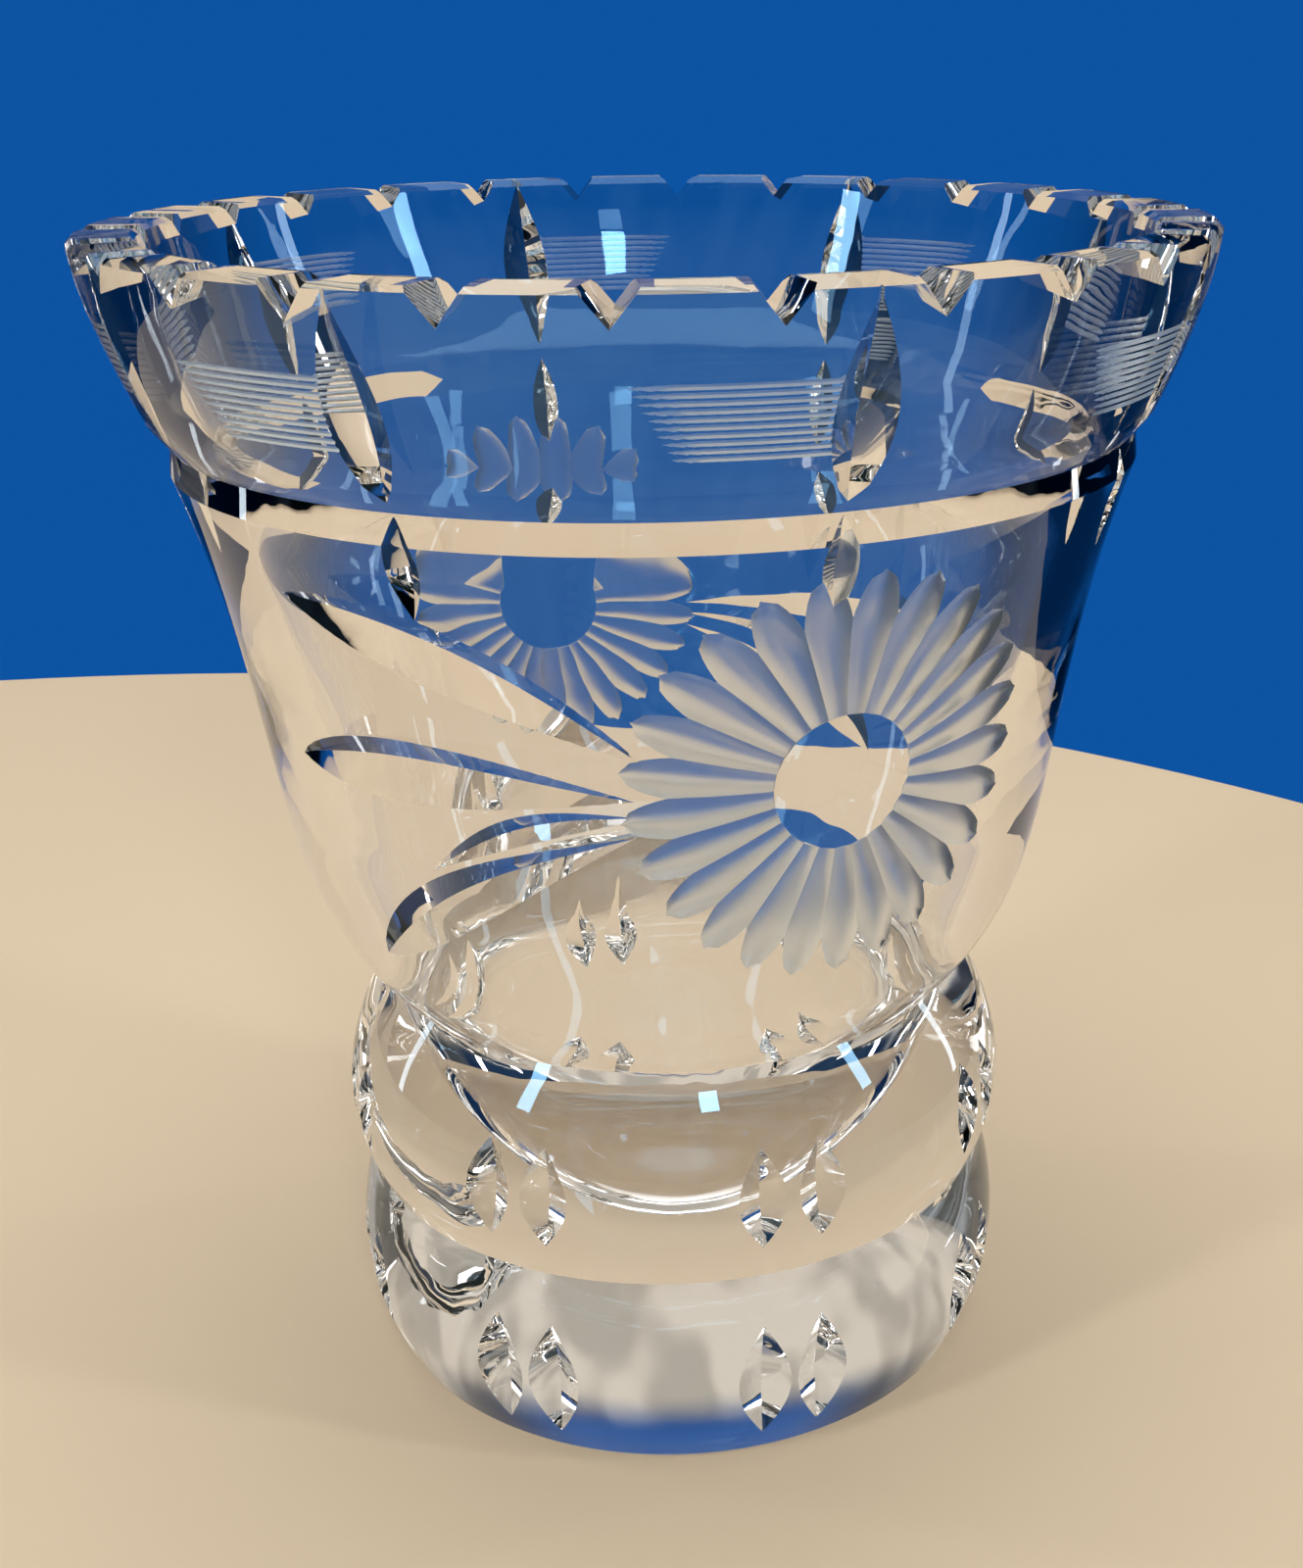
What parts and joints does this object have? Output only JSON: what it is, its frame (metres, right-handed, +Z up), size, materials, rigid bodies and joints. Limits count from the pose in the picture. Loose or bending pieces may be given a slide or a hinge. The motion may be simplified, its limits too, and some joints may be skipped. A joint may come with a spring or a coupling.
{
  "type": "cut crystal vase",
  "caption": "Round cut glass vase: flared bowl with a notched rim and wheel-cut daisies, on a foot of two round rings.",
  "frame": {"origin": "centre of the round foot, on the surface the vase stands on", "axes": "+Z up along the vase's axis, -Y towards the viewer who faces a daisy just right of the middle"},
  "size_m": [0.18, 0.18, 0.2],
  "materials": {
    "crystal": "clear polished lead crystal, with matt wheel-cut petals and fine comb lines"
  },
  "bodies": {
    "root": {"crystal_vase": "crystal"}
  },
  "joints": []
}
